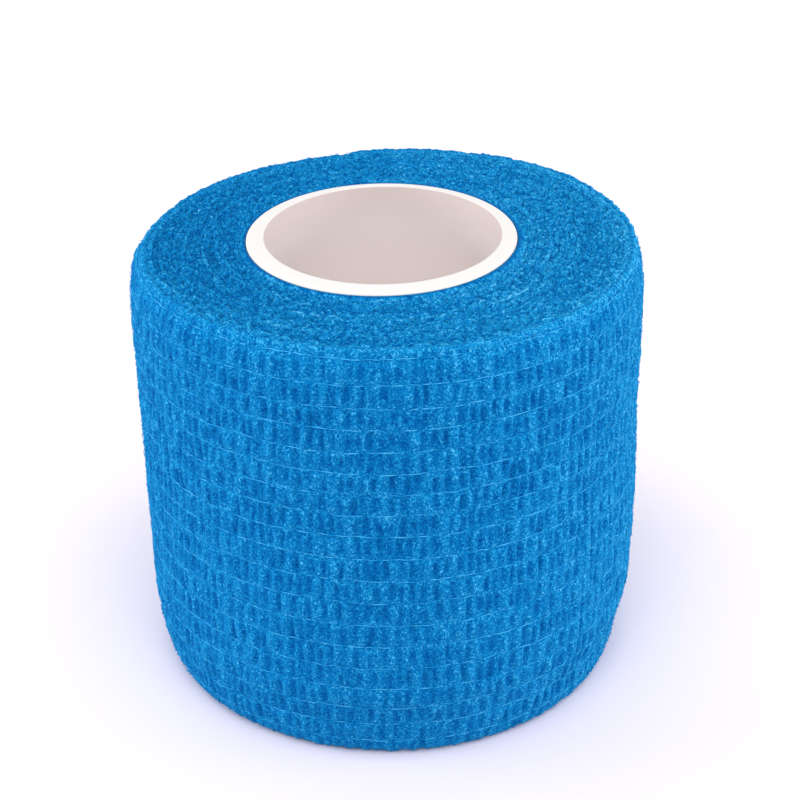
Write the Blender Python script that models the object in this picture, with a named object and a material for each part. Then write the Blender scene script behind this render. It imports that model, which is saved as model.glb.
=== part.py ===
"""A cohesive bandage roll, standing on its end.

One length of crinkled cloth tape is wound on a white plastic tube. The cloth is one solid of its wound form: its
outer turn is a spiral that ends in a step, nineteen elastic threads draw it in along the side, and its rims are
soft. Units are metres, +Z is up, and the origin is the middle of the underside.
"""

import math

import bmesh
import bpy

MM = 0.001

# The cloth as it is wound
WIDTH = 50.0 * MM              # width of the tape, so height of the roll
RADIUS = 27.55 * MM            # mean outer radius
TURN = 0.6 * MM                # thickness of one turn, so height of the step at the cut end
TAIL_AZIMUTH = math.radians(100)
TAIL_RUN = 1 / 360             # share of a turn that the step takes to fall

# A wound roll is never quite round: it has shallow lobes, and its tube sits a little off the middle
OVAL = 0.40 * MM
OVAL_AZIMUTH = math.radians(20)
LOBES = 0.17 * MM
LOBES_AZIMUTH = math.radians(65)
TUBE_OFFSET = -0.57 * MM       # along X

# The elastic threads in the cloth, counted from the top
THREADS = 19
FIRST_THREAD = 0.78 * MM       # below the top edge
THREAD_PITCH = 2.61 * MM
THREAD_DRIFT = 0.5 * MM        # those midway up stand up to twice this above an even spacing
THREAD_DRIFT_PERIOD = 17       # in threads
THREAD_GROOVE = 0.25 * MM      # how far a thread draws the cloth in
GROOVE_HALF = 0.5 * MM         # half the groove's width

# The soft rims, each a quarter of an ellipse (how far in, how far along), and the heights that shape them
TOP_RIM = (1.2 * MM, 6.6 * MM)
TOP_RIM_DEPTHS = (0.25 * MM, 0.08 * MM, 0.0)
FOOT_RIM = (2.4 * MM, 10.0 * MM)
FOOT_RIM_HEIGHTS = (0.0, 0.15 * MM, 0.7 * MM, 1.5 * MM)

# The plastic tube
TUBE_RADIUS = 14.6 * MM
TUBE_WALL = 1.8 * MM
TUBE_PROUD = 0.37 * MM         # its outer edge, above the cloth's top face
TUBE_RISE = 0.36 * MM          # its inner edge, above its outer one
TUBE_LIP = 0.35 * MM           # rounding of its edges
LIP_STEPS = 3
FIT_GAP = 0.3 * MM             # between the tube and the first turn

AROUND = 72                    # steps round the roll

BLUE = (0.008, 0.235, 0.60)
WHITE = (0.90, 0.91, 0.90)


def material(name, colour, roughness):
    """A plain surface of one colour, not metallic."""
    made = bpy.data.materials.new(name)
    made.use_nodes = True
    shader = made.node_tree.nodes["Principled BSDF"]
    shader.inputs["Base Color"].default_value = (*colour, 1.0)
    shader.inputs["Roughness"].default_value = roughness
    shader.inputs["Metallic"].default_value = 0.0
    return made


def outline(turned):
    """The azimuth and the outer radius at this share of the last turn, which grows from 0 to 1 at the cut end."""
    azimuth = TAIL_AZIMUTH + math.tau * turned
    spiral = TURN * (turned - 0.5)
    oval = OVAL * math.cos(2 * (azimuth - OVAL_AZIMUTH))
    lobes = LOBES * math.cos(3 * (azimuth - LOBES_AZIMUTH))
    return azimuth, RADIUS + spiral + oval + lobes


def rim_inset(height):
    """How far the soft rims draw the side in at this height."""
    inset = 0.0
    for (inward, along), distance in ((FOOT_RIM, height), (TOP_RIM, WIDTH - height)):
        if distance < along:
            inset += inward * (1 - math.sqrt(1 - (1 - distance / along) ** 2))
    return inset


def thread_heights():
    """The height of each elastic thread, from the lowest up."""
    depths = []
    for k in range(THREADS):
        drift = THREAD_DRIFT * (1 - math.cos(math.tau * k / THREAD_DRIFT_PERIOD))
        depths.append(FIRST_THREAD + k * THREAD_PITCH - drift)
    return [WIDTH - depth for depth in reversed(depths)]


def side_rows():
    """(height, how far in from the outer radius) up the side: a thread's groove between two swells of cloth."""
    heights = [(height, 0.0) for height in FOOT_RIM_HEIGHTS]
    for thread in thread_heights():
        heights.append((thread - GROOVE_HALF, 0.0))
        heights.append((thread, THREAD_GROOVE))
        heights.append((thread + GROOVE_HALF, 0.0))
    rim_starts = WIDTH - TOP_RIM_DEPTHS[0]
    heights = [row for row in heights if row[0] < rim_starts]
    heights += [(WIDTH - depth, 0.0) for depth in TOP_RIM_DEPTHS]
    return [(height, rim_inset(height) + groove) for height, groove in heights]


def ring_solid(name, sections):
    """A closed ring through its sections, which are loops of as many points, one after another round the axis."""
    shape = bmesh.new()
    rings = [[shape.verts.new(point) for point in section] for section in sections]
    for ring, after in zip(rings, rings[1:] + rings[:1]):
        for a, b, c, d in zip(ring, ring[1:] + ring[:1], after[1:] + after[:1], after):
            shape.faces.new((a, b, c, d))
    bmesh.ops.recalc_face_normals(shape, faces=shape.faces)
    mesh = bpy.data.meshes.new(name)
    shape.to_mesh(mesh)
    shape.free()
    return bpy.data.objects.new(name, mesh)


def around_axis(azimuth, rows, x_offset=0.0):
    """Points at the rows' (radius, height) and this azimuth round a vertical axis."""
    return [(x_offset + r * math.cos(azimuth), r * math.sin(azimuth), z) for r, z in rows]


def bandage_roll():
    """The wound cloth, an open ring round the tube."""
    bore = TUBE_RADIUS + FIT_GAP
    side = side_rows()
    sections = []
    for k in range(AROUND + 1):
        azimuth, radius = outline(TAIL_RUN + (1 - TAIL_RUN) * k / AROUND)
        outer = around_axis(azimuth, [(radius - inset, height) for height, inset in side])
        inner = around_axis(azimuth, [(bore, WIDTH), (bore, 0.0)], TUBE_OFFSET)
        sections.append(outer + inner)
    return ring_solid("bandage_roll", sections)


def core_tube():
    """The plastic tube, its four edges rounded."""
    top = WIDTH + TUBE_PROUD
    inner = TUBE_RADIUS - TUBE_WALL
    corners = (
        (TUBE_RADIUS - TUBE_LIP, TUBE_LIP, -90),
        (TUBE_RADIUS - TUBE_LIP, top - TUBE_LIP, 0),
        (inner + TUBE_LIP, top + TUBE_RISE - TUBE_LIP, 90),
        (inner + TUBE_LIP, TUBE_LIP, 180),
    )
    rows = []
    for radius, height, start in corners:
        for step in range(LIP_STEPS + 1):
            turn = math.radians(start + 90 * step / LIP_STEPS)
            rows.append((radius + TUBE_LIP * math.cos(turn), height + TUBE_LIP * math.sin(turn)))
    azimuths = [math.tau * k / AROUND for k in range(AROUND)]
    return ring_solid("core_tube", [around_axis(azimuth, rows, TUBE_OFFSET) for azimuth in azimuths])


def stand_on_origin(objects):
    """Moves the shapes together so that the middle of their underside is the origin."""
    points = [vertex.co for piece in objects for vertex in piece.data.vertices]
    for axis in (0, 1):
        middle = (min(p[axis] for p in points) + max(p[axis] for p in points)) / 2
        for point in points:
            point[axis] -= middle


def finish(piece, surface):
    """Shades the piece round, but for its sharp edges, and puts it in the scene."""
    piece.data.materials.append(surface)
    piece.data.shade_smooth()
    piece.data.set_sharp_from_angle(angle=math.radians(50))
    bpy.context.scene.collection.objects.link(piece)


def main():
    for leftover in list(bpy.data.objects):
        bpy.data.objects.remove(leftover, do_unlink=True)
    roll = bandage_roll()
    tube = core_tube()
    stand_on_origin((roll, tube))
    finish(roll, material("crepe_cloth", BLUE, 0.85))
    finish(tube, material("white_plastic", WHITE, 0.4))


main()
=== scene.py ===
"""The looks of a cohesive bandage roll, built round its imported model. Metres, +Z up.

The tape's outer turn, the crinkled edges of the turns inside it, the elastic threads, the loose fibres
and the plastic tube are meshes worked out from the sizes below. Their random draws are all seeded. A size
whose name ends in STEP is how far apart a noise takes its new values; a pair of them is along and up.
"""

import math

import bpy
import numpy as np
from mathutils import Matrix, Vector


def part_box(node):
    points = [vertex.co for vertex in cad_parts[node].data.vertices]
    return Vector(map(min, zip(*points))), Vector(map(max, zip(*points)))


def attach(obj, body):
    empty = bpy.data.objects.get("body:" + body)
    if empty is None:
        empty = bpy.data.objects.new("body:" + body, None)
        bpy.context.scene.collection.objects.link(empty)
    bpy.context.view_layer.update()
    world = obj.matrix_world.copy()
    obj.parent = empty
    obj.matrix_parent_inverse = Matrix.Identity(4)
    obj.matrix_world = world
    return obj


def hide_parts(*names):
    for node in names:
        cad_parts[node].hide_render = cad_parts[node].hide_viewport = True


MM = 0.001

# The roll, as in the model's source
WIDTH = 50.0 * MM
RADIUS = 27.55 * MM
GIRTH = math.tau * RADIUS
TURN = 0.6 * MM
TAIL_AZIMUTH = math.radians(100)
OVAL, OVAL_AZIMUTH = 0.40 * MM, math.radians(20)
LOBES, LOBES_AZIMUTH = 0.17 * MM, math.radians(65)
THREADS = 19
FIRST_THREAD = 0.78 * MM
THREAD_PITCH = 2.61 * MM
THREAD_DRIFT, THREAD_DRIFT_PERIOD = 0.5 * MM, 17
TOP_RIM = (1.2 * MM, 6.6 * MM)
FOOT_RIM = (2.4 * MM, 10.0 * MM)
BORE = 14.9 * MM
FIT_GAP = 0.3 * MM                  # between the tube and the first turn
OUTLINE_STEPS = 1440                # in which the outline's box is measured

# How the soft cloth is drawn in or bulges, beside its rims
EDGE_REACH = 1.6 * MM               # how far the foot and the top edge have an influence
FOOT_DRAW = 0.22 * MM
TOP_DRAW, TOP_DRAW_AZIMUTH = 0.25 * MM, math.radians(190)        # the top edge's, most of all on one side
TOP_SPREAD, TOP_CORNERS = 0.35 * MM, 4                           # but it spreads at two corners at the back
LOW_DRAW, LOW_DRAW_AZIMUTH = 0.29 * MM, math.radians(-25)        # the side's, just above the foot
LOW_DRAW_TOP = 8.5 * MM
BULGE, BULGE_HEIGHT = 0.13 * MM, 21 * MM                         # and above that it bulges a little

# The outer turn's rows and columns
COLUMNS = 938                       # steps along the outer turn
TUCK = 0.03                         # share of a turn that runs on under the tail
FOOT_HEIGHTS = (0.0, 0.15 * MM, 0.7 * MM, 1.5 * MM)              # of the rows below the first thread
BAND_STEPS = (0.0, 0.16, 0.37, 0.63, 0.84)                       # of the rows from each thread to the next
TOP_DEPTHS = (0.5 * MM, 0.25 * MM, 0.08 * MM, 0.0)               # of the rows above the last thread
TOP_BAND_START = 0.3                # where in its band the last thread lies
BACK_ROWS = (                       # of its hidden side: how far in and how high, in millimetres
    (1.40, 49.97), (1.68, 49.85), (1.3, 48.8), (1.1, 43.0), (1.2, 15.0), (2.95, 0.5), (2.9, 0.0),
)

# The grooves between its puckers, which run in bands from thread to thread
GROOVE_SPACING = (1.0 * MM, 1.55 * MM)
GROOVE_SHIFT = 0.26 * MM            # how far a groove moves from one band to the next
GROOVE_CLOSEST, GROOVE_WIDEST = 0.85 * MM, 1.9 * MM              # where two merge, and where one more comes
GROOVE_MARGIN = 10 * MM             # of grooves worked out beyond the ends, where the pattern thins out
GROOVE_DEPTH = 0.48 * MM
GROOVE_SHALLOWEST, GROOVE_SPREAD = 0.4, (2, 2)                   # share of that depth, and its distribution
GROOVE_HALF_WIDTH = (0.24 * MM, 0.50 * MM)
GROOVE_SLANT, GROOVE_BOW = 0.14 * MM, 0.09 * MM
GROOVE_MIDDLE, GROOVE_REACH = (0.38, 0.62), (0.34, 0.54)         # where in its band, and how far up and down
GROOVE_FLANKS, GROOVE_ENDS = 2.6, 4                              # how square it is, across and at its ends
GROOVE_LEVEL, GROOVE_PATCHES = 0.88, 0.15                        # the depth's mean share, and how it varies
GROOVE_PATCH_STEP = (9 * MM, 6 * MM)
GROOVE_AT_EDGE = 0.25               # share of the depth that is left at the foot and the top edge

# Its finer relief
SWELL, SWELL_STEP = 0.06 * MM, (0.9 * MM, 1.9 * MM)              # how unevenly the ridges stand
LUMPS, LUMPS_STEP = 0.06 * MM, (0.45 * MM, 0.8 * MM)
FUZZ = 0.05 * MM                    # roughness of the cloth's face
THREAD_GROOVE = 0.22 * MM           # how far a thread draws the cloth in
THREAD_HOLD = 0.34 * MM             # and how near it
FRILL = 0.9 * MM                    # height of the free edges beyond the outer threads
FRILL_OUT, FRILL_OUT_STEP = 0.20 * MM, (0.42 * MM, 0.2 * MM)
FRILL_UP, FRILL_UP_STEP = 0.12 * MM, (0.5 * MM, 4 * MM)
TAIL_DROP = 1.0 * MM                # how far the cut end is pressed down
TAIL_FALL, TAIL_SHARPNESS = 0.015, 8                             # in what share of a turn, and how suddenly
CUT_WOBBLE, CUT_WOBBLE_STEP = 0.3 * MM, 3.1 * MM                 # how unevenly it is cut
LUMP_SHADE, BACK_SHADE = 0.1, 0.7   # the lumps' share in the painted relief shade, and that painted shade on the hidden side

# The crinkled edges of the turns inside
TURNS = 20
TOP_EDGE_STEPS, FOOT_EDGE_STEPS = 560, 400                       # along each turn
EDGE_ROWS = (-1.0, -0.94, -0.55, -0.2, 0.2, 0.55, 0.94, 1.0)     # across an edge, from valley to valley
VALLEY = 3.0                        # how deep a valley is, in millimetres,
EDGE_DEPTHS = (VALLEY, 0.13, 0.09, 0.06, 0.06, 0.09, 0.13, VALLEY)                  # and each row
MIDDLE_ROWS = 0.5                   # the rows nearer than this are an edge's middle
EDGE_DEEPEST = 0.40 * MM            # of what shows of an edge, where its painted shade is darkest
BRIGHTEST_RELIEF_SHADE = 1.1
CRINKLE = 1.25 * MM                 # length of one crinkle along the tape
CRINKLE_DRIFT, CRINKLE_DRIFT_STEP = 2.2, 2.3 * MM                # how far they fall out of step, in radians
CRINKLE_SWAY = 0.19 * MM            # how far an edge sways to either side
SWAY_VARIES, SWAY_VARIES_STEP = 0.3, 1.7 * MM
FINE_SWAY, FINE_SWAY_STEP = 0.6, 0.4 * MM                        # as a share of the sway
FIRST_SWAY = 0.7                    # share of the sway that the first turn has, beside the tube
EDGE_FRAY, EDGE_FRAY_STEP = 0.21 * MM, 0.38 * MM                 # of all an edge's rows together
ROW_FRAY, ROW_FRAY_STEP = 0.7 * EDGE_FRAY, 0.31 * MM             # and of each row
TURN_RISE, TURN_RISE_STEP = 0.08 * MM, 21 * MM                   # how unevenly whole turns stand
NEAR_TUBE_RISE = 0.22 * MM          # how much higher the first turn stands
TUBE_CLEARANCE = 0.05 * MM          # of the first turn's edge, which leans to the tube
LEANING_TOP = 0.28 * MM             # of that edge beside the tube, above the cloth's width
LAST_HOLLOW = 0.08 * MM             # between the last of these edges and the outer turn
LAST_GAP = 0.6 * TURN               # how far inside the outer turn's face the last edge ends
LEAN_FADE = 0.03                    # share of a turn in which the lean and the hollow come or go

# How pale the cloth is in places, partly as painted light, on the scale of the tone that its surface reads
TONE_STEP = 33 * MM
EDGE_SIDE_LIGHT, FACE_SIDE_LIGHT = 1.5, 0.8            # painted light: the edges and the face are painted a little paler on the side the light falls on
SIDE_LIGHT_AZIMUTH = math.radians(-12)
RIM_LIT_TURNS, RIM_LIGHT = 2.5, 1.6        # painted rim light: so are the last turns, and the top of the face on another side
RIM_LIGHT_AZIMUTH = math.radians(-70)
RUBBED, RUBBED_STEP, RUBBED_RARENESS = 8.0, 8.0 * MM, 0.90       # stretches of an edge's middle, rubbed pale
BARE = ((8.39, 8.53), (8.555, 8.61), (4.35, 4.42))               # where a pale thread shows, in turns
BARE_PALENESS, BARE_RISE, BARE_FADE = 9.0, 0.05 * MM, 0.006
BARE_COVER, BARE_STEP = 0.6, 0.9 * MM                            # how much of it shows there

# The elastic threads
THREAD_RADIUS, THREAD_SIDES = 0.05 * MM, 4
THREAD_STEPS = 600
THREAD_END = 0.996                  # share of the last turn where a thread ends
THREAD_DEPTH = 0.19 * MM            # of its middle, below the outline
THREAD_MARGIN = 0.1 * MM            # from the tape's edges
THREAD_BOB, THREAD_BOB_STEP = 0.09 * MM, 0.9 * MM                # how it runs in and out
THREAD_WEAVE, THREAD_WEAVE_STEP = 0.11 * MM, 5.5 * MM            # and up and down
THREAD_QUIVER, THREAD_QUIVER_STEP = 0.05 * MM, 0.8 * MM
LANE, LANE_STEP = 100.0, 1.0        # so far apart in the noise that each thread has its own

# The loose fibres
SIDE_FIBRES, TOP_FIBRES = 9000, 5000
FIBRE_RADIUS, FIBRE_SIDES = 0.022 * MM, 3
FIBRE_LENGTH = (0.15 * MM, 0.5 * MM)
FIBRE_POINTS = (-1.0, -0.33, 0.33, 1.0)                          # from end to end
FIBRE_BOW = 0.05 * MM
FIBRE_SUNK = 0.05 * MM              # how deep its ends are in the cloth
SIDE_FIBRE_TURN = (0.004, 0.992)    # the part of the last turn that has them
SIDE_FIBRE_HEIGHT = (0.6 * MM, WIDTH - 0.5 * MM)                 # of its middle
SIDE_FIBRE_LIMITS = (0.2 * MM, WIDTH - 0.1 * MM)                 # of all its points
SIDE_FIBRE_LIFT = (0.02 * MM, 0.2 * MM)
TOP_FIBRE_AREA = (0.345, 1.0)       # the part of the top's disc that is cloth
TOP_FIBRE_OUTMOST = RADIUS - TOP_RIM[0] - 0.5 * MM
TOP_FIBRE_LIMITS = (BORE + 0.7 * MM, RADIUS - 1.3 * MM)
TOP_FIBRE_SLOPE = 0.7               # across the tape, in radians
TOP_FIBRE_LIFT = (0.02 * MM, 0.16 * MM)
TOP_FIBRE_LEVEL = WIDTH - 0.02 * MM

# The plastic tube
TUBE_WALL = 1.8 * MM
TUBE_RISE = 0.36 * MM               # of its inner edge, above its outer one
BORE_SHIFT = 0.15 * MM              # its wall is a little thicker on one side
TUBE_LIP = 0.14 * MM
TUBE_AROUND = 288
LIP_STEPS = 5
BORE_LIGHT_DEPTH = 20 * MM               # how far down the bore its painted light goes on growing
BORE_START = 0.05                   # where the bore's shades start, above the 0 of the tube's outside

# The seeds of the random draws
OUTER_SEED = 11
TOP_EDGE_SEED, FOOT_EDGE_SEED = 21, 22
THREAD_SEED = 31
SIDE_FIBRE_SEED, TOP_FIBRE_SEED = 41, 43

# The shades of the surfaces, each with its place on the surface's own scale
CLOTH_SHADES = (
    (0.0, (0.0, 0.078, 0.30)),
    (0.40, (0.001, 0.152, 0.435)),
    (0.65, (0.004, 0.228, 0.535)),
    (0.87, (0.024, 0.365, 0.70)),
    (1.0, (0.11, 0.475, 0.78)),
)
# How much of a cloth's shade each thing gives: the painted relief shade, the speckle, the patches and the
# tone
RELIEF_SHADE_WEIGHT, SPECKLE_WEIGHT, PATCH_WEIGHT, TONE_WEIGHT = 0.45, 3.2, 0.10, 0.055
CLOTH_START = -1.575
THREAD_SHADES = ((0.38, (0.0, 0.22, 0.56)), (0.52, (0.03, 0.38, 0.78)), (0.66, (0.08, 0.52, 0.90)))
FIBRE_SHADES = ((0.3, (0.003, 0.20, 0.50)), (0.7, (0.02, 0.38, 0.74)))
# painted light: down the bore the wall's shades grow paler with depth, against the shade that falls deeper
# in; the first is the ring's white
PLASTIC_SHADES = (
    (0.02, (0.73, 0.715, 0.70)),
    (0.04, (0.70, 0.61, 0.60)),
    (0.25, (0.81, 0.735, 0.725)),
    (0.55, (0.89, 0.81, 0.80)),
    (1.0, (0.92, 0.845, 0.835)),
)
PLASTIC_MOTTLE = 0.03
FLOOR_SHADOW_SHADES = (                    # painted shadow: by the distance from its middle, just in front of the roll, in metres
    (0.018, (0.815, 0.765, 0.85)),
    (0.05, (0.865, 0.812, 0.88)),
    (0.15, (0.87, 0.825, 0.885)),
    (0.55, (0.90, 0.89, 0.90)),
)
SHADOW_MIDDLE = (0.012, -0.045, 0.0)
FLOOR_MOTTLE = 0.005

# The stage
FLOOR_HALF = 1.5
FLOOR_DROP = 0.02 * MM              # below the roll's foot
DOME_STRENGTH = 0.72
LAMP_AIM = (0.0, 0.0, 0.03)
LAMPS = (                           # name, place, length of a side, watts
    ("left_lamp", (-0.6, 0.04, 0.09), 0.3, 2.35),
    ("right_lamp", (0.6, 0.0, 0.09), 0.3, 1.95),
    ("top_lamp", (0.0, -0.33, 0.75), 0.6, 4.2),
)

# The camera, found by fitting the roll's outline in the photo, measured from the tube's axis
IMAGE_SIDE = 800
FOCAL_PIXELS = 1790.7
SENSOR = 36.0
CAMERA_TARGET = (1.72 * MM, 0.0, 30.0 * MM)
CAMERA_DISTANCE = 202.7 * MM
CAMERA_DOWN = math.radians(29.37)
CAMERA_ROLL = math.radians(-0.854)
CAMERA_CLIP = 10 * MM


# ---------------------------------------------------------------- arrays and meshes


def smooth_step(t):
    """From 0 to 1 as t does, but level at both ends."""
    return t * t * (3 - 2 * t)


def eased(t):
    """The same for a t that also runs below 0 and above 1."""
    return smooth_step(np.clip(t, 0, 1))


def noise_along(rng, x, step):
    """Smooth noise from -1 to 1 along x, with a new value at each step."""
    cell = np.floor(x / step).astype(int)
    t = smooth_step(x / step - cell)
    cell -= cell.min()
    values = rng.uniform(-1, 1, cell.max() + 2)
    return values[cell] * (1 - t) + values[cell + 1] * t


def noise_over(rng, x, y, step_x, step_y):
    """Smooth noise from -1 to 1 over x and y, with a new value at each step of either."""
    cell_x, cell_y = np.floor(x / step_x).astype(int), np.floor(y / step_y).astype(int)
    s, t = smooth_step(x / step_x - cell_x), smooth_step(y / step_y - cell_y)
    cell_x -= cell_x.min()
    cell_y -= cell_y.min()
    values = rng.uniform(-1, 1, (cell_x.max() + 2, cell_y.max() + 2))
    near = values[cell_x, cell_y] * (1 - s) + values[cell_x + 1, cell_y] * s
    far = values[cell_x, cell_y + 1] * (1 - s) + values[cell_x + 1, cell_y + 1] * s
    return near * (1 - t) + far * t


def grid_faces(rows, columns, close_rows=False, close_columns=False):
    """Four-cornered faces over points in rows, each row of so many columns."""
    r = np.arange(rows if close_rows else rows - 1)[:, None]
    c = np.arange(columns if close_columns else columns - 1)[None, :]
    r2, c2 = (r + 1) % rows, (c + 1) % columns
    corners = (r * columns + c, r * columns + c2, r2 * columns + c2, r2 * columns + c)
    return np.stack(corners, -1).reshape(-1, 4)


def band_faces(rows, columns):
    """The faces of a closed band of rows that has two ends, with a face on each end."""
    ends = np.arange(rows) * columns
    caps = [ends[::-1].tolist(), (ends + columns - 1).tolist()]
    return grid_faces(rows, columns, close_rows=True).tolist() + caps


def mesh_piece(name, points, faces, surface, node, values=None):
    """A smooth piece in a node's place, with values at its points for the surface to read."""
    mesh = bpy.data.meshes.new(name)
    mesh.from_pydata(points.reshape(-1, 3).tolist(), [], faces)
    for key, value in (values or {}).items():
        data = mesh.attributes.new(key, "FLOAT", "POINT").data
        data.foreach_set("value", np.ravel(value).astype(np.float32))
    mesh.materials.append(surface)
    mesh.shade_smooth()
    piece = bpy.data.objects.new(name, mesh)
    bpy.context.scene.collection.objects.link(piece)
    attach(piece, "root")
    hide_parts(node)


def cloth_piece(name, points, faces, surface, values=None):
    """A piece in the wound cloth's place."""
    mesh_piece(name, points, faces, surface, "bandage_roll", values)


def unit(vectors):
    """Each vector at a length of 1."""
    return vectors / np.linalg.norm(vectors, axis=-1, keepdims=True)


def strands(paths, radius, outward, sides):
    """The points and faces of thin closed strands along paths, which are rows of points.

    Outward is any direction across the strands, at each of their points or for all of them.
    """
    count, steps = paths.shape[:2]
    ahead = unit(np.gradient(paths, axis=1))
    across = unit(np.cross(ahead, outward))
    lift = np.cross(across, ahead)
    angle = math.tau * np.arange(sides) / sides
    ring = across[:, :, None] * np.cos(angle)[:, None] + lift[:, :, None] * np.sin(angle)[:, None]
    points = paths[:, :, None] + radius * ring
    one = grid_faces(steps, sides, close_columns=True)
    start = (np.arange(count) * steps * sides)[:, None, None]
    around_faces = (one[None] + start).reshape(-1, 4).tolist()
    first = np.arange(sides)[::-1][None] + start[:, 0]
    last = np.arange(sides)[None] + (steps - 1) * sides + start[:, 0]
    return points, around_faces + first.tolist() + last.tolist()


# ---------------------------------------------------------------- the roll's form


def closed_outline(azimuth):
    """The mean outer radius at this azimuth, with its lobes and without the spiral."""
    oval = OVAL * np.cos(2 * (azimuth - OVAL_AZIMUTH))
    lobes = LOBES * np.cos(3 * (azimuth - LOBES_AZIMUTH))
    return RADIUS + oval + lobes


def outline(turned):
    """The azimuth and the outer radius at this share of the last turn, which grows to 1 at the cut end."""
    azimuth = TAIL_AZIMUTH + math.tau * turned
    return azimuth, closed_outline(azimuth) + TURN * (turned - 0.5)


def winding_axis():
    """Where the outline's own axis stands, so that the roll's box is centred as its solid is."""
    azimuth, radius = outline(np.linspace(0, 1, OUTLINE_STEPS + 1))
    x, y = radius * np.cos(azimuth), radius * np.sin(azimuth)
    return np.array([-(x.min() + x.max()) / 2, -(y.min() + y.max()) / 2])


def around(azimuth, radius, height, axis):
    """Points at this azimuth, radius and height round an upright axis."""
    azimuth, radius, height = np.broadcast_arrays(azimuth, radius, height)
    return np.stack([axis[0] + radius * np.cos(azimuth), axis[1] + radius * np.sin(azimuth), height], -1)


def rim_inset(height):
    """How far the soft rims draw the side in at this height."""
    inset = np.zeros_like(height)
    for (inward, along), distance in ((FOOT_RIM, height), (TOP_RIM, WIDTH - height)):
        near = np.clip(distance / along, 0, 1)
        inset += inward * (1 - np.sqrt(1 - (1 - near) ** 2))
    return inset


def to_side(azimuth, middle):
    """From 0 to 2 round the roll: most at the middle azimuth."""
    return 1 + np.cos(azimuth - middle)


def top_draw(azimuth):
    """How far the outer turn's top edge is drawn in here, less its spread at the two back corners."""
    corners = np.clip(-np.cos(TOP_CORNERS * (azimuth - math.pi / 2)), 0, 1) * (np.sin(azimuth) > 0)
    return TOP_DRAW * to_side(azimuth, TOP_DRAW_AZIMUTH) - TOP_SPREAD * corners


def near_edges(height):
    """How near the foot and the top edge this height is, from 0 to 1 at the edge."""
    return [eased(1 - distance / EDGE_REACH) for distance in (height, WIDTH - height)]


def drawn_in(azimuth, height):
    """How far the outer turn is drawn in at its foot, its top edge and low on one side, beside its rims."""
    near_foot, near_top = near_edges(height)
    low = np.sin(math.pi * np.clip(height / LOW_DRAW_TOP, 0, 1))
    bulge = np.sin(math.pi * np.clip((height - LOW_DRAW_TOP) / BULGE_HEIGHT, 0, 1))
    on_side = to_side(azimuth, LOW_DRAW_AZIMUTH) * (LOW_DRAW * low - BULGE * bulge)
    return FOOT_DRAW * near_foot + top_draw(azimuth) * near_top + on_side


def thread_heights():
    """The height of each elastic thread, from the lowest up."""
    k = np.arange(THREADS)[::-1]
    drift = THREAD_DRIFT * (1 - np.cos(math.tau * k / THREAD_DRIFT_PERIOD))
    return WIDTH - (FIRST_THREAD + k * THREAD_PITCH - drift)


# ---------------------------------------------------------------- the outer turn


def first_grooves(rng, start, end):
    """Places of the grooves along one band, each a crinkle from the last."""
    gaps = rng.uniform(*GROOVE_SPACING, int((end - start) / GROOVE_SPACING[0]) + 2)
    places = start + np.cumsum(gaps)
    return places[places < end]


def next_grooves(rng, places):
    """The grooves of the band above: most carry on a little to one side, some merge and some split."""
    moved = np.sort(places + rng.normal(0, GROOVE_SHIFT, len(places)))
    moved = moved[np.concatenate(([True], np.diff(moved) > GROOVE_CLOSEST))]
    wide = np.flatnonzero(np.diff(moved) > GROOVE_WIDEST)
    return np.sort(np.concatenate((moved, (moved[wide] + moved[wide + 1]) / 2)))


def groove_band(rng, places, along, shares):
    """How deep a band's grooves are along the tape, from 0 to 1, at each share of the band's height."""
    count = len(places)
    depth = GROOVE_SHALLOWEST + (1 - GROOVE_SHALLOWEST) * rng.beta(*GROOVE_SPREAD, count)
    half = rng.uniform(*GROOVE_HALF_WIDTH, count)
    slant = rng.normal(0, GROOVE_SLANT, count)
    bow = rng.normal(0, GROOVE_BOW, count)
    middle = rng.uniform(*GROOVE_MIDDLE, count)
    reach = rng.uniform(*GROOVE_REACH, count)
    rows = []
    for share in shares:
        centre = places + slant * (share - 0.5) + bow * math.sin(math.pi * share)
        order = np.argsort(centre)
        right = np.clip(np.searchsorted(centre[order], along), 1, count - 1)
        row = np.zeros_like(along)
        for near in (order[right - 1], order[right]):
            across = np.exp(-(np.abs((along - centre[near]) / half[near]) ** GROOVE_FLANKS))
            up = np.exp(-((np.abs(share - middle[near]) / reach[near]) ** GROOVE_ENDS))
            row = np.maximum(row, depth[near] * across * up)
        rows.append(row)
    return rows


def crinkled_side(rng, along):
    """The rows of the outer turn's face, from the foot up: their heights, and how deep each is grooved."""
    threads = thread_heights()
    places = first_grooves(rng, along[0] - GROOVE_MARGIN, along[-1] + GROOVE_MARGIN)
    foot = np.array(FOOT_HEIGHTS)
    heights = list(foot)
    grooves = groove_band(rng, places, along, 1 - (threads[0] - foot) / THREAD_PITCH)
    for low, high in zip(threads[:-1], threads[1:]):
        places = next_grooves(rng, places)
        grooves += groove_band(rng, places, along, BAND_STEPS)
        heights += [low + share * (high - low) for share in BAND_STEPS]
    top = np.array([threads[-1], *(WIDTH - depth for depth in TOP_DEPTHS)])
    places = next_grooves(rng, places)
    grooves += groove_band(rng, places, along, TOP_BAND_START + (top - threads[-1]) / THREAD_PITCH)
    return np.array(heights + list(top)), np.array(grooves)


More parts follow.
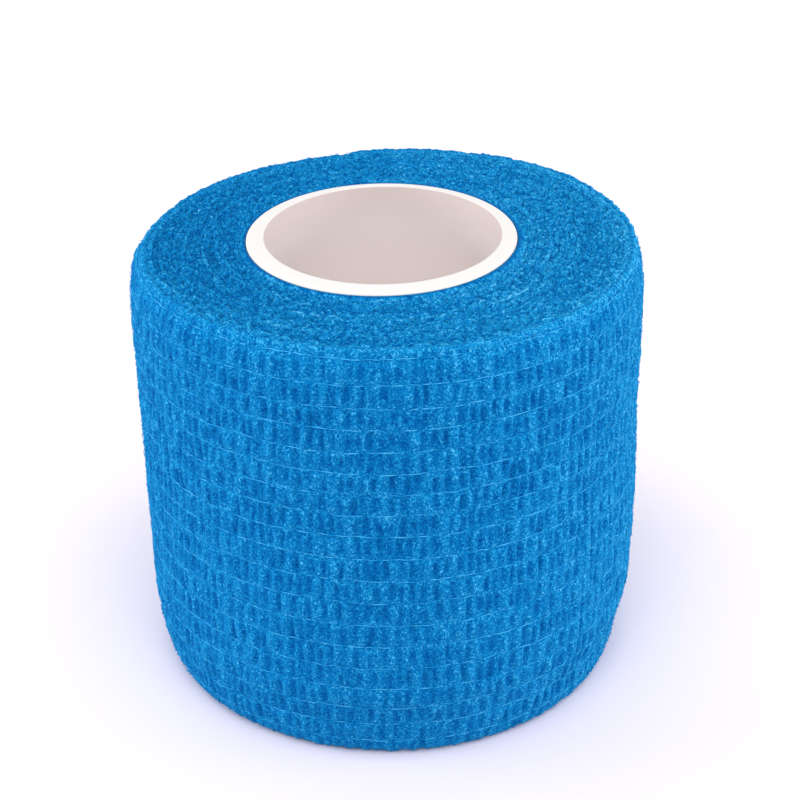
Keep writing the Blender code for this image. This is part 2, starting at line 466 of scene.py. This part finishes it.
def outer_turn(axis, surface):
    """The last turn of the tape: its crinkled face, its frilled edges and the cut end, pressed down."""
    rng = np.random.default_rng(OUTER_SEED)
    turned = np.linspace(-TUCK, 1.0, COLUMNS)
    along = turned * GIRTH
    heights, grooves = crinkled_side(rng, along)
    up, across = np.meshgrid(heights, along, indexing="ij")
    azimuth, radius = outline(turned)
    near_foot, near_top = near_edges(up)
    grooves = grooves * (GROOVE_LEVEL + GROOVE_PATCHES * noise_over(rng, across, up, *GROOVE_PATCH_STEP))
    grooves = grooves * (1 - (1 - GROOVE_AT_EDGE) * (near_foot + near_top))
    swell = noise_over(rng, across, up, *SWELL_STEP)
    lumps = noise_over(rng, across, up, *LUMPS_STEP)
    to_thread = np.abs(up[..., None] - thread_heights()).min(-1)
    held = np.exp(-((to_thread / THREAD_HOLD) ** 2))
    fuzz = rng.uniform(-1, 1, grooves.shape) * (1 - held)
    inward = GROOVE_DEPTH * grooves - SWELL * swell - LUMPS * lumps - FUZZ * fuzz + THREAD_GROOVE * held
    edge = np.clip(1 - np.minimum(up, WIDTH - up) / FRILL, 0, 1)
    frill = FRILL_OUT * edge * noise_over(rng, across, up, *FRILL_OUT_STEP)
    rise = FRILL_UP * edge * noise_over(rng, across, up, *FRILL_UP_STEP)

    at_end = np.clip((turned - 1 + TAIL_FALL) / TAIL_FALL, 0, 1)
    wobble = CUT_WOBBLE / RADIUS * noise_along(rng, heights, CUT_WOBBLE_STEP)
    dropped = TAIL_DROP * at_end**TAIL_SHARPNESS
    face_azimuth = azimuth + wobble[:, None] * at_end**2
    face_radius = radius - rim_inset(up) - drawn_in(azimuth, up) - inward + frill - dropped
    face_height = np.where(up > WIDTH / 2, up + rise, up + np.abs(rise))
    face = around(face_azimuth, face_radius, face_height, axis)

    # The first two rows of the hidden side follow the top edge
    back = [around(azimuth, radius - inset * MM, height * MM, axis) for inset, height in BACK_ROWS]
    for row in back[:2]:
        row += face[-1] - around(azimuth, radius - TOP_RIM[0], WIDTH, axis)
    points = np.concatenate([face, np.array(back)])
    hidden = (len(back), COLUMNS)
    # painted light: the top of the face paler on one side as rim light, and the whole face paler on another
    tone = RIM_LIGHT * near_top * to_side(azimuth, RIM_LIGHT_AZIMUTH) / 2 + FACE_SIDE_LIGHT * np.cos(azimuth - SIDE_LIGHT_AZIMUTH)
    values = {
        # painted shade: darker in the grooves, lighter on the lumps
        "relief_shade": np.concatenate([1 - grooves + LUMP_SHADE * lumps, np.full(hidden, BACK_SHADE)]),
        "tone": np.concatenate([tone, np.zeros(hidden)]),
    }
    cloth_piece("outer_turn", points, band_faces(*points.shape[:2]), surface, values)


# ---------------------------------------------------------------- the turns inside


def edge_sway(rng, length):
    """How far an edge sways to either side, along the tape."""
    phase = math.tau * length / CRINKLE + CRINKLE_DRIFT * noise_along(rng, length, CRINKLE_DRIFT_STEP)
    strength = 1 - SWAY_VARIES + SWAY_VARIES * noise_along(rng, length, SWAY_VARIES_STEP)
    fine = FINE_SWAY * noise_along(rng, length, FINE_SWAY_STEP)
    return CRINKLE_SWAY * (np.sin(phase) * strength + fine)


def edge_tones(rng, place, azimuth, length, at_top):
    """Along the tape: an edge's tone with its painted light, how much paler its middle is, and how far a
    pale thread shows.
    """
    # painted light: the edges are paler on one side
    tone = noise_along(rng, length, TONE_STEP) + EDGE_SIDE_LIGHT * np.cos(azimuth - SIDE_LIGHT_AZIMUTH)
    # painted rim light: the last turns paler
    tone = tone + RIM_LIGHT * eased((place - TURNS + RIM_LIT_TURNS) / RIM_LIT_TURNS)
    worn = noise_along(rng, length, RUBBED_STEP) - RUBBED_RARENESS
    rubbed = RUBBED * np.clip(worn / (1 - RUBBED_RARENESS), 0, 1)
    bare = sum(eased(np.minimum(place - start, end - place) / BARE_FADE) for start, end in BARE) * at_top
    bare = bare * np.clip(BARE_COVER + noise_along(rng, length, BARE_STEP), 0, 1)
    return tone, rubbed + BARE_PALENESS * bare, bare


def wound_edges(name, seed, steps, axis, tube_axis, surface, at_top):
    """The crinkled edge of the tape at one end of the roll, from the tube out to the outer turn."""
    rng = np.random.default_rng(seed)
    place = np.arange(TURNS * steps + 1) / steps
    azimuth = TAIL_AZIMUTH + math.tau * place
    length = math.tau * (BORE * place + TURN * place**2 / 2)
    sway = edge_sway(rng, length)
    inset = TOP_RIM[0] + top_draw(azimuth) if at_top else np.full_like(azimuth, FOOT_RIM[0] + FOOT_DRAW)
    inmost = around(azimuth, BORE + TURN / 4 + FIRST_SWAY * sway, 0.0, tube_axis)
    outmost = around(azimuth, closed_outline(azimuth) - inset - TURN + sway, 0.0, axis)
    share = (place / TURNS)[:, None]
    middle = inmost * (1 - share) + outmost * share

    wall = around(azimuth[:steps], BORE - FIT_GAP + TUBE_CLEARANCE, 0.0, tube_axis)
    inner = np.concatenate([wall, (middle[steps:] + middle[:-steps]) / 2])
    last_radius = outline(place[-steps:] - (TURNS - 1))[1]
    face_in = around(azimuth[-steps:], last_radius - inset[-steps:] - LAST_GAP, 0.0, axis)
    outer = np.concatenate([inner[steps:], face_in])

    sunk = TURN_RISE * noise_along(rng, length, TURN_RISE_STEP) - NEAR_TUBE_RISE * np.exp(-place)
    fray = EDGE_FRAY * noise_along(rng, length, EDGE_FRAY_STEP)
    tone, paler_middle, bare = edge_tones(rng, place, azimuth, length, at_top)
    sunk = sunk - BARE_RISE * bare
    at_tube = eased((1 + LEAN_FADE - place) / LEAN_FADE) * at_top
    at_face = eased((place - TURNS + 1 + LEAN_FADE) / LEAN_FADE) * at_top
    rows, relief_shades, tones = [], [], []
    for across, depth in zip(EDGE_ROWS, EDGE_DEPTHS):
        beside = inner if across < 0 else outer
        row = middle + abs(across) * (beside - middle)
        shown = depth < VALLEY
        row_fray = fray + ROW_FRAY * noise_along(rng, length, ROW_FRAY_STEP)
        down = depth * MM + (sunk + row_fray) * shown
        # painted shadow: the first turn's leaning rows beside the tube are coloured dark, for the shade in
        # the gap there
        leaning = at_tube * (across < -MIDDLE_ROWS) * shown
        hollow = at_face * (across > MIDDLE_ROWS) * shown
        down = down * (1 - leaning - hollow) - LEANING_TOP * leaning + LAST_HOLLOW * hollow
        if not at_top:
            down = np.maximum(down, 0.0)
        row[:, 2] = WIDTH - down if at_top else down
        rows.append(row)
        # painted shade: the lower an edge lies, the darker it is painted
        relief_shades.append(np.clip(1 - down / EDGE_DEEPEST, 0, BRIGHTEST_RELIEF_SHADE) * (1 - leaning))
        tones.append(tone + paler_middle * (abs(across) < MIDDLE_ROWS))

    # At the foot the rows run the other way, for the faces to look down
    order = 1 if at_top else -1
    points = np.array(rows)[::order]
    values = {"relief_shade": np.array(relief_shades)[::order], "tone": np.array(tones)[::order]}
    cloth_piece(name, points, band_faces(*points.shape[:2]), surface, values)


# ---------------------------------------------------------------- the threads and fibres


def elastic_threads(axis, surface):
    """The elastic threads in the outer turn, each from under the tail nearly to the cut end."""
    rng = np.random.default_rng(THREAD_SEED)
    heights = thread_heights()[:, None]
    turned = np.linspace(0.0, THREAD_END, THREAD_STEPS)[None]
    azimuth, radius = outline(turned)
    along, lane = np.broadcast_arrays(turned * GIRTH, np.arange(THREADS)[:, None] * LANE)
    bob = THREAD_BOB * noise_over(rng, along, lane, THREAD_BOB_STEP, LANE_STEP)
    weave = THREAD_WEAVE * noise_over(rng, along, lane, THREAD_WEAVE_STEP, LANE_STEP)
    weave = weave + THREAD_QUIVER * noise_over(rng, along, lane, THREAD_QUIVER_STEP, LANE_STEP)
    level = np.clip(heights + weave, THREAD_MARGIN, WIDTH - THREAD_MARGIN)
    cloth = radius - rim_inset(level) - drawn_in(azimuth, level)
    paths = around(azimuth, cloth - THREAD_DEPTH + bob, level, axis)
    outward = around(azimuth, 1.0, 0.0, (0.0, 0.0))
    points, faces = strands(paths, THREAD_RADIUS, outward, THREAD_SIDES)
    cloth_piece("elastic_threads", points, faces, surface)


def fibre_bends(rng, count, lift):
    """For each loose fibre: its steps along and across its own direction, and off the cloth."""
    s = np.array(FIBRE_POINTS)
    long = rng.uniform(*FIBRE_LENGTH, count)[:, None] / 2 * s
    wide = rng.normal(0, FIBRE_BOW, count)[:, None] * (1 - s**2)
    off = rng.uniform(*lift, count)[:, None] * (1 - s**2) - FIBRE_SUNK
    return long, wide, off


def side_fibres(axis, surface):
    """Loose fibres on the outer turn's face."""
    rng = np.random.default_rng(SIDE_FIBRE_SEED)
    turned = rng.uniform(*SIDE_FIBRE_TURN, SIDE_FIBRES)[:, None]
    height = rng.uniform(*SIDE_FIBRE_HEIGHT, SIDE_FIBRES)[:, None]
    slope = rng.uniform(0, math.tau, SIDE_FIBRES)[:, None]
    long, wide, off = fibre_bends(rng, SIDE_FIBRES, SIDE_FIBRE_LIFT)
    up = np.clip(height + long * np.sin(slope) + wide * np.cos(slope), *SIDE_FIBRE_LIMITS)
    shift = long * np.cos(slope) - wide * np.sin(slope)
    azimuth, radius = outline(np.clip(turned + shift / GIRTH, 0, 1))
    paths = around(azimuth, radius - rim_inset(up) - drawn_in(azimuth, up) + off, up, axis)
    outward = around(azimuth, 1.0, 0.0, (0.0, 0.0))
    points, faces = strands(paths, FIBRE_RADIUS, outward, FIBRE_SIDES)
    cloth_piece("side_fibres", points, faces, surface)


def top_fibres(axis, surface):
    """Loose fibres on the wound edges at the top, most of them lying along the tape."""
    rng = np.random.default_rng(TOP_FIBRE_SEED)
    azimuth = rng.uniform(0, math.tau, TOP_FIBRES)[:, None]
    own = np.sqrt(rng.uniform(*TOP_FIBRE_AREA, TOP_FIBRES))[:, None] * TOP_FIBRE_OUTMOST
    slope = rng.normal(0, TOP_FIBRE_SLOPE, TOP_FIBRES)[:, None]
    long, wide, off = fibre_bends(rng, TOP_FIBRES, TOP_FIBRE_LIFT)
    radius = np.clip(own + long * np.sin(slope) + wide * np.cos(slope), *TOP_FIBRE_LIMITS)
    azimuth = azimuth + (long * np.cos(slope) - wide * np.sin(slope)) / own
    paths = around(azimuth, radius, TOP_FIBRE_LEVEL + off, axis)
    points, faces = strands(paths, FIBRE_RADIUS, np.array([0.0, 0.0, 1.0]), FIBRE_SIDES)
    cloth_piece("top_fibres", points, faces, surface)


# ---------------------------------------------------------------- the tube


def plastic_tube(surface):
    """The open tube, with its four edges rounded, where its solid is. Its axis is given back."""
    low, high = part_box("core_tube")
    axis = ((low.x + high.x) / 2, (low.y + high.y) / 2)
    outside = (high.x - low.x) / 2
    inside = outside - TUBE_WALL
    corners = (
        (outside - TUBE_LIP, low.z + TUBE_LIP, -90, 0.0),
        (outside - TUBE_LIP, high.z - TUBE_RISE - TUBE_LIP, 0, 0.0),
        (inside + TUBE_LIP, high.z - TUBE_LIP, 90, BORE_SHIFT),
        (inside + TUBE_LIP, low.z + TUBE_LIP, 180, BORE_SHIFT),
    )
    azimuth = math.tau * np.arange(TUBE_AROUND) / TUBE_AROUND
    rows = []
    for radius, height, start, shift in corners:
        for step in range(LIP_STEPS + 1):
            turn = math.radians(start + 90 * step / LIP_STEPS)
            reach, level = radius + TUBE_LIP * math.cos(turn), height + TUBE_LIP * math.sin(turn)
            rows.append(around(azimuth, reach, level, (axis[0] + shift, axis[1])))
    points = np.array(rows)
    faces = grid_faces(len(rows), TUBE_AROUND, close_rows=True, close_columns=True).tolist()
    from_axis = np.linalg.norm(points[..., :2] - np.array([axis[0] + BORE_SHIFT, axis[1]]), axis=-1)
    in_bore = from_axis < inside + TUBE_LIP / 4
    down_bore = (high.z - points[..., 2]) / BORE_LIGHT_DEPTH
    # painted light: the deeper in the bore, the paler the shade it picks
    values = {"depth": np.where(in_bore, BORE_START + (1 - BORE_START) * down_bore, 0.0)}
    mesh_piece("fine_tube", points, faces, surface, "core_tube", values)
    return axis


# ---------------------------------------------------------------- surfaces


def set_inputs(tree, node, inputs):
    """Gives each of these inputs its value, or joins it to another node's output."""
    for key, value in inputs.items():
        if isinstance(value, bpy.types.NodeSocket):
            tree.links.new(value, node.inputs[key])
        else:
            node.inputs[key].default_value = value


def add_node(tree, kind, inputs=None, **settings):
    """A node of this kind, with its inputs and settings."""
    made = tree.nodes.new(kind)
    for key, value in settings.items():
        setattr(made, key, value)
    set_inputs(tree, made, inputs or {})
    return made


def new_surface(name):
    """A material with nodes: its tree, its shader, and the places on the object."""
    made = bpy.data.materials.new(name)
    made.use_nodes = True
    tree = made.node_tree
    place = add_node(tree, "ShaderNodeTexCoord").outputs["Object"]
    return made, tree, tree.nodes["Principled BSDF"], place


def stored(tree, name):
    """The values that a mesh has at its points under this name."""
    return add_node(tree, "ShaderNodeAttribute", attribute_name=name).outputs["Fac"]


def noise(tree, place, scale, detail, distortion=0.0, roughness=0.5):
    """A cloudy value of about 0.5 at each place."""
    inputs = {
        "Vector": place,
        "Scale": scale,
        "Detail": detail,
        "Distortion": distortion,
        "Roughness": roughness,
    }
    return add_node(tree, "ShaderNodeTexNoise", inputs).outputs["Fac"]


def sum_of(tree, parts, start):
    """The sum of a start and of each part's output times its weight."""
    total = start
    for output, weight in parts:
        inputs = {0: output, 1: weight, 2: total}
        total = add_node(tree, "ShaderNodeMath", inputs, operation="MULTIPLY_ADD").outputs[0]
    return total


def colour_ramp(tree, factor, shades):
    """The colour that a factor stands for among these shades."""
    ramp = add_node(tree, "ShaderNodeValToRGB", {"Fac": factor})
    elements = ramp.color_ramp.elements
    while len(elements) < len(shades):
        elements.new(0.5)
    for element, (position, colour) in zip(elements, shades):
        element.position = position
        element.color = (*colour, 1.0)
    return ramp.outputs["Color"]


def bumps(tree, height, strength, distance):
    """The way that the surface faces where a height makes it uneven."""
    inputs = {"Height": height, "Strength": strength, "Distance": distance}
    return add_node(tree, "ShaderNodeBump", inputs).outputs["Normal"]


def crepe_surface():
    """Blue crinkled nonwoven: painted shade darker in its grooves and lighter on its crests, and speckled by
    its fibres, partly as painted highlights.
    """
    made, tree, shader, place = new_surface("crepe")
    # partly painted highlight: the speckle is the fibres' own tone, and it also lightens the colour where
    # the same noise raises the bumps
    speckle = noise(tree, place, scale=4200.0, detail=4.0, distortion=0.6, roughness=0.7)
    patches = noise(tree, place, scale=700.0, detail=2.0)
    parts = (
        (stored(tree, "relief_shade"), RELIEF_SHADE_WEIGHT),
        (speckle, SPECKLE_WEIGHT),
        (patches, PATCH_WEIGHT),
        (stored(tree, "tone"), TONE_WEIGHT),
    )
    shade = sum_of(tree, parts, CLOTH_START)
    inputs = {
        "Base Color": colour_ramp(tree, shade, CLOTH_SHADES),
        "Normal": bumps(tree, speckle, strength=0.8, distance=0.07 * MM),
        "Roughness": 0.85,
        "Specular IOR Level": 0.03,
        "Sheen Weight": 0.20,
        "Sheen Roughness": 0.42,
        "Sheen Tint": (0.06, 0.72, 0.72, 1.0),
    }
    set_inputs(tree, shader, inputs)
    return made


def strand_surface(name, shades, scale):
    """Thread or fibre of a lighter blue, uneven along its length."""
    made, tree, shader, place = new_surface(name)
    colour = colour_ramp(tree, noise(tree, place, scale, detail=2.0), shades)
    set_inputs(tree, shader, {"Base Color": colour, "Roughness": 0.6, "Specular IOR Level": 0.0})
    return made


def plastic_surface():
    """White moulded plastic, very slightly mottled, of a warmer shade down its bore, painted paler deeper
    down as painted light against the shade there.
    """
    made, tree, shader, place = new_surface("plastic")
    mottle = noise(tree, place, scale=160.0, detail=3.0)
    grain = noise(tree, place, scale=1400.0, detail=2.0)
    parts = ((stored(tree, "depth"), 1.0), (mottle, PLASTIC_MOTTLE))
    shade = sum_of(tree, parts, -PLASTIC_MOTTLE / 2)
    inputs = {
        "Base Color": colour_ramp(tree, shade, PLASTIC_SHADES),
        "Normal": bumps(tree, grain, strength=0.25, distance=0.03 * MM),
        "Roughness": 0.42,
        "Specular IOR Level": 0.2,
    }
    set_inputs(tree, shader, inputs)
    return made


def floor_surface():
    """Matt pale paper, with a painted shadow, darker and more lavender near the roll's front, whiter farther
    off.
    """
    made, tree, shader, place = new_surface("pale_floor")
    mottle = noise(tree, place, scale=40.0, detail=2.0)
    ends = {0: place, 1: SHADOW_MIDDLE}
    # painted shadow: darker the nearer to its middle
    distance = add_node(tree, "ShaderNodeVectorMath", ends, operation="DISTANCE").outputs["Value"]
    shade = sum_of(tree, ((distance, 1.0), (mottle, FLOOR_MOTTLE)), 0.0)
    colour = colour_ramp(tree, shade, FLOOR_SHADOW_SHADES)
    set_inputs(tree, shader, {"Base Color": colour, "Roughness": 1.0, "Specular IOR Level": 0.0})
    return made


# ---------------------------------------------------------------- floor, light and camera


def pale_floor():
    """A wide floor just under the roll."""
    mesh = bpy.data.meshes.new("floor")
    corners = [(x * FLOOR_HALF, y * FLOOR_HALF, 0) for x, y in ((-1, -1), (1, -1), (1, 1), (-1, 1))]
    mesh.from_pydata(corners, [], [(0, 1, 2, 3)])
    mesh.materials.append(floor_surface())
    floor = bpy.data.objects.new("floor", mesh)
    floor.location.z = -FLOOR_DROP
    bpy.context.scene.collection.objects.link(floor)


def white_dome(strength):
    """Even white light from all round."""
    world = bpy.data.worlds.new("dome")
    world.use_nodes = True
    background = world.node_tree.nodes["Background"]
    background.inputs["Color"].default_value = (1.0, 1.0, 1.0, 1.0)
    background.inputs["Strength"].default_value = strength
    bpy.context.scene.world = world


def soft_light(name, place, side, power):
    """A square lamp that faces the roll."""
    data = bpy.data.lights.new(name, "AREA")
    data.size = side
    data.energy = power
    lamp = bpy.data.objects.new(name, data)
    lamp.location = place
    lamp.rotation_euler = (Vector(LAMP_AIM) - Vector(place)).to_track_quat("-Z", "Y").to_euler()
    bpy.context.scene.collection.objects.link(lamp)


def photo_camera(tube_axis):
    """The camera of the photo, which looks down at the roll."""
    data = bpy.data.cameras.new("camera")
    data.sensor_width = SENSOR
    data.lens = FOCAL_PIXELS / IMAGE_SIDE * SENSOR
    data.clip_start = CAMERA_CLIP
    camera = bpy.data.objects.new("camera", data)
    ahead = Vector((0, math.cos(CAMERA_DOWN), -math.sin(CAMERA_DOWN)))
    level = Vector((1, 0, 0))
    above = level.cross(ahead)
    right = math.cos(CAMERA_ROLL) * level + math.sin(CAMERA_ROLL) * above
    up = math.cos(CAMERA_ROLL) * above - math.sin(CAMERA_ROLL) * level
    target = Vector(CAMERA_TARGET) + Vector((*tube_axis, 0.0))
    turn = Matrix((right, up, -ahead)).transposed().to_4x4()
    camera.matrix_world = Matrix.Translation(target - CAMERA_DISTANCE * ahead) @ turn
    bpy.context.scene.collection.objects.link(camera)
    bpy.context.scene.camera = camera


# ---------------------------------------------------------------- all together

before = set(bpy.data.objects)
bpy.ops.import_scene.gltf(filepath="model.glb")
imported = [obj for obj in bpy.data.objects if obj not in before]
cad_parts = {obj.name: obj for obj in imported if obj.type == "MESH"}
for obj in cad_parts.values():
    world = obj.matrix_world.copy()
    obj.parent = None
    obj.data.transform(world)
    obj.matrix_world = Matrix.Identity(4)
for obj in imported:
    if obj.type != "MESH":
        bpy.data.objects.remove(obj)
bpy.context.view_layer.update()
bpy.context.scene.view_settings.view_transform = "Standard"

axis = winding_axis()
crepe = crepe_surface()
fibre = strand_surface("fibre", FIBRE_SHADES, scale=500.0)
tube_axis = plastic_tube(plastic_surface())
outer_turn(axis, crepe)
wound_edges("top_edges", TOP_EDGE_SEED, TOP_EDGE_STEPS, axis, tube_axis, crepe, at_top=True)
wound_edges("foot_edges", FOOT_EDGE_SEED, FOOT_EDGE_STEPS, axis, tube_axis, crepe, at_top=False)
elastic_threads(axis, strand_surface("elastic", THREAD_SHADES, scale=900.0))
side_fibres(axis, fibre)
top_fibres(axis, fibre)

pale_floor()
white_dome(DOME_STRENGTH)
for lamp in LAMPS:
    soft_light(*lamp)
photo_camera(tube_axis)
